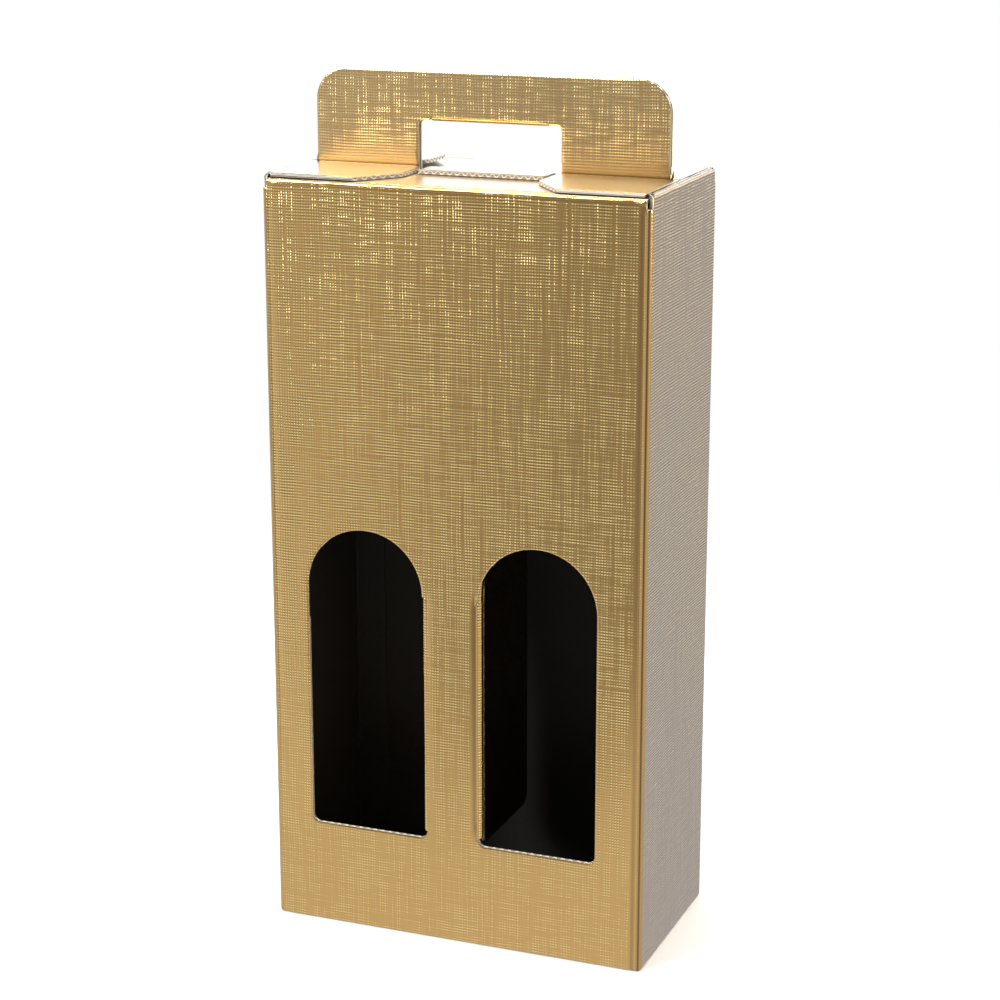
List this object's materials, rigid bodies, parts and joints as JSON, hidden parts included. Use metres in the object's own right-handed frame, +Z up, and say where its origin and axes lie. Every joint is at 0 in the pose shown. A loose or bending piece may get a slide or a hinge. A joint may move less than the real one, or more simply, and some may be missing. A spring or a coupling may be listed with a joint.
{
  "type": "bottle shipping box",
  "caption": "Folded gold board carrier carton for two bottles, with arched windows, a raised handle with a hand hole, and hinged flaps.",
  "frame": {"origin": "middle of the footprint, on the floor", "axes": "+Z up, windows face -Y, +X to the right seen from the front"},
  "size_m": [0.1756, 0.09, 0.383],
  "materials": {
    "foil_board": "micro-flute board faced with linen-embossed gold foil, dark inner liner"
  },
  "bodies": {
    "carton": {"carton": "foil_board"},
    "grip_flap": {"grip_flap": "foil_board"},
    "window_flap_left": {"window_flap_left": "foil_board"},
    "window_flap_right": {"window_flap_right": "foil_board"},
    "end_flap_left_front": {"end_flap_left_front": "foil_board"},
    "end_flap_left_rear": {"end_flap_left_rear": "foil_board"},
    "end_flap_right_front": {"end_flap_right_front": "foil_board"},
    "end_flap_right_rear": {"end_flap_right_rear": "foil_board"}
  },
  "joints": [
    {"name": "open_end_left_front", "type": "hinge", "parent": "carton", "child": "end_flap_left_front", "pos_m": [-0.08585, 0, 0.34], "axis": [0, -1, 0], "range_deg": [0, 110]},
    {"name": "open_end_left_rear", "type": "hinge", "parent": "carton", "child": "end_flap_left_rear", "pos_m": [-0.08585, 0, 0.34], "axis": [0, -1, 0], "range_deg": [-2, 108]},
    {"name": "open_end_right_front", "type": "hinge", "parent": "carton", "child": "end_flap_right_front", "pos_m": [0.08585, 0, 0.34], "axis": [0, 1, 0], "range_deg": [0, 110]},
    {"name": "open_end_right_rear", "type": "hinge", "parent": "carton", "child": "end_flap_right_rear", "pos_m": [0.08585, 0, 0.34], "axis": [0, 1, 0], "range_deg": [0, 110]},
    {"name": "fold_window_flap_left", "type": "hinge", "parent": "carton", "child": "window_flap_left", "pos_m": [-0.013, -0.0431, 0.1], "axis": [0, 0, 1], "range_deg": [-11, 90]},
    {"name": "fold_window_flap_right", "type": "hinge", "parent": "carton", "child": "window_flap_right", "pos_m": [0.0113, -0.0431, 0.1], "axis": [0, 0, -1], "range_deg": [-11, 90]},
    {"name": "fold_grip_flap", "type": "hinge", "parent": "carton", "child": "grip_flap", "pos_m": [0, -0.0002, 0.3636], "axis": [-1, 0, 0], "range_deg": [0, 95]}
  ]
}
